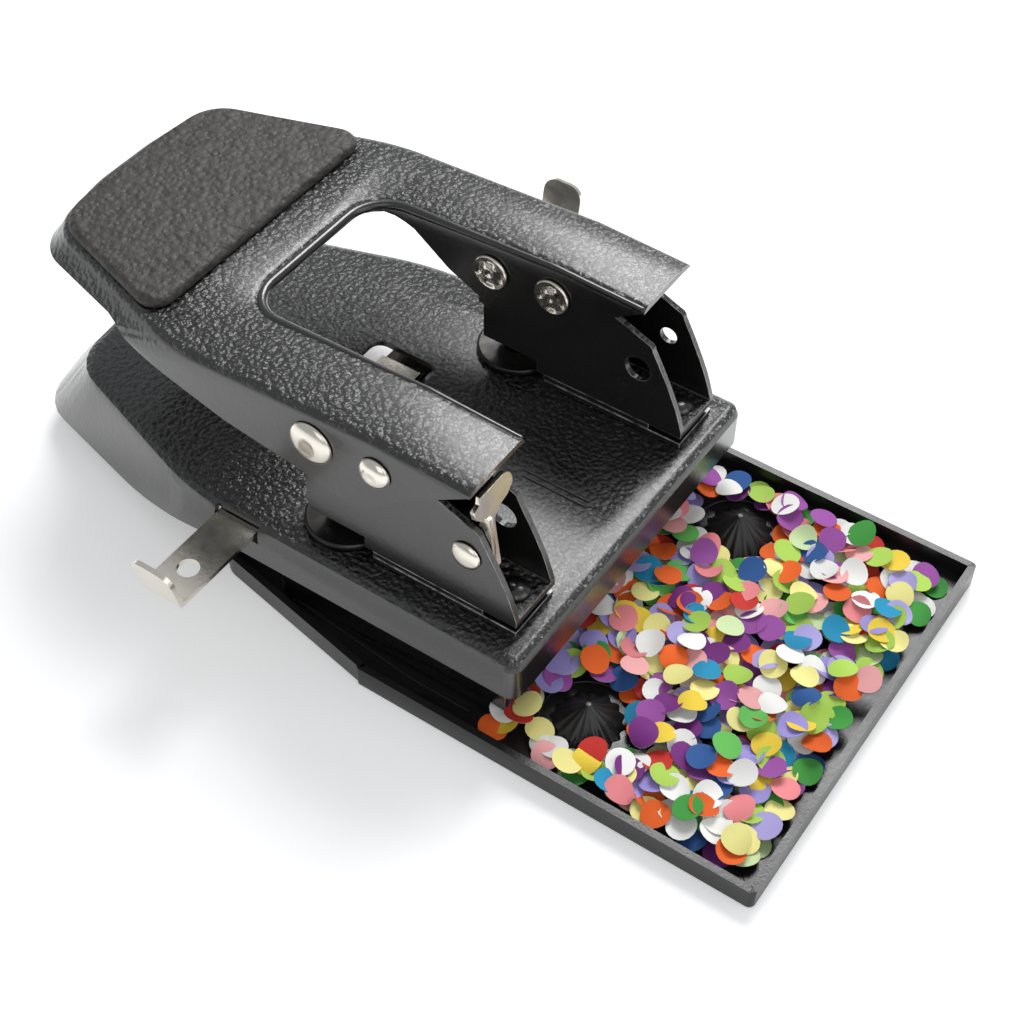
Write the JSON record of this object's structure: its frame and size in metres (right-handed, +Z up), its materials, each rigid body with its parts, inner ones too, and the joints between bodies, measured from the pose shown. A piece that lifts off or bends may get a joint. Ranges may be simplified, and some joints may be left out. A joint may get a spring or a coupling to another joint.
{
  "type": "two-hole paper punch",
  "caption": "Black two-hole desk punch with padded lever handle, sliding side guides, thumb latch and pull-out chip tray.",
  "frame": {"origin": "on the underside of the chip tray, below the middle of the base's front edge", "axes": "+Z up, +Y towards the handle's padded end, +X to the right seen from the tray side"},
  "size_m": [0.169, 0.23, 0.0728],
  "materials": {
    "black_wrinkle_paint": "black wrinkle enamel on steel sheet",
    "black_smooth_paint": "smooth black enamel",
    "black_rubber": "matte soft pad with a leather grain",
    "black_plastic": "satin moulded plastic",
    "nickel_plate": "bright nickel plate",
    "tool_steel": "ground steel"
  },
  "bodies": {
    "base": {"base_pan": "black_wrinkle_paint", "latch_rivet": "nickel_plate", "runner_left": "black_smooth_paint", "head_bracket_left": "black_wrinkle_paint", "stop_plate_left": "black_smooth_paint", "spacer_plate_left": "black_smooth_paint", "head_rivet_front_left": "black_smooth_paint", "head_rivet_rear_left": "black_smooth_paint", "die_left": "tool_steel", "punch_guide_left": "tool_steel", "guide_clip_left": "black_smooth_paint", "return_spring_left": "tool_steel", "runner_right": "black_smooth_paint", "head_bracket_right": "black_wrinkle_paint", "stop_plate_right": "black_smooth_paint", "spacer_plate_right": "black_smooth_paint", "head_rivet_front_right": "black_smooth_paint", "head_rivet_rear_right": "black_smooth_paint", "die_right": "tool_steel", "punch_guide_right": "tool_steel", "guide_clip_right": "black_smooth_paint", "return_spring_right": "tool_steel"},
    "handle": {"handle_frame": "black_wrinkle_paint", "handle_pad": "black_rubber", "pivot_pin_left": "nickel_plate", "drive_pin_left": "nickel_plate", "pivot_pin_right": "nickel_plate", "drive_pin_right": "nickel_plate"},
    "punch_unit_left": {"punch_left": "tool_steel"},
    "punch_unit_right": {"punch_right": "tool_steel"},
    "tray": {"chip_tray": "black_plastic"},
    "thumb_latch": {"latch": "nickel_plate"},
    "guide_left": {"paper_guide_left": "nickel_plate"},
    "guide_right": {"paper_guide_right": "nickel_plate"}
  },
  "joints": [
    {"name": "handle_press", "type": "hinge", "parent": "base", "child": "handle", "pos_m": [0, 0.0402, 0.0635], "axis": [-1, 0, 0], "range_deg": [0, 15], "stiffness_Nm_per_rad": 1.5, "springref_deg": -22.92},
    {"name": "punch_slide_left", "type": "slide", "parent": "base", "child": "punch_unit_left", "axis": [0, 0, -1], "range_m": [0, 0.0045], "deforming": ["return_spring_left"]},
    {"name": "punch_slide_right", "type": "slide", "parent": "base", "child": "punch_unit_right", "axis": [0, 0, -1], "range_m": [0, 0.0045], "deforming": ["return_spring_right"]},
    {"name": "tray_slide", "type": "slide", "parent": "base", "child": "tray", "axis": [0, 1, 0], "range_m": [0, 0.0665]},
    {"name": "latch_swing", "type": "hinge", "parent": "base", "child": "thumb_latch", "pos_m": [-0.0403, 0.018, 0.0495], "axis": [1, 0, 0], "range_deg": [-12, 20]},
    {"name": "guide_slide_left", "type": "slide", "parent": "base", "child": "guide_left", "axis": [-1, 0, 0], "range_m": [-0.016, 0.035]},
    {"name": "guide_slide_right", "type": "slide", "parent": "base", "child": "guide_right", "axis": [1, 0, 0], "range_m": [-0.028, 0.02]}
  ],
  "couplings": [
    {"joint": "punch_slide_left", "follows": "handle_press", "m_per_rad": 0.016975},
    {"joint": "punch_slide_right", "follows": "handle_press", "m_per_rad": 0.016975}
  ]
}
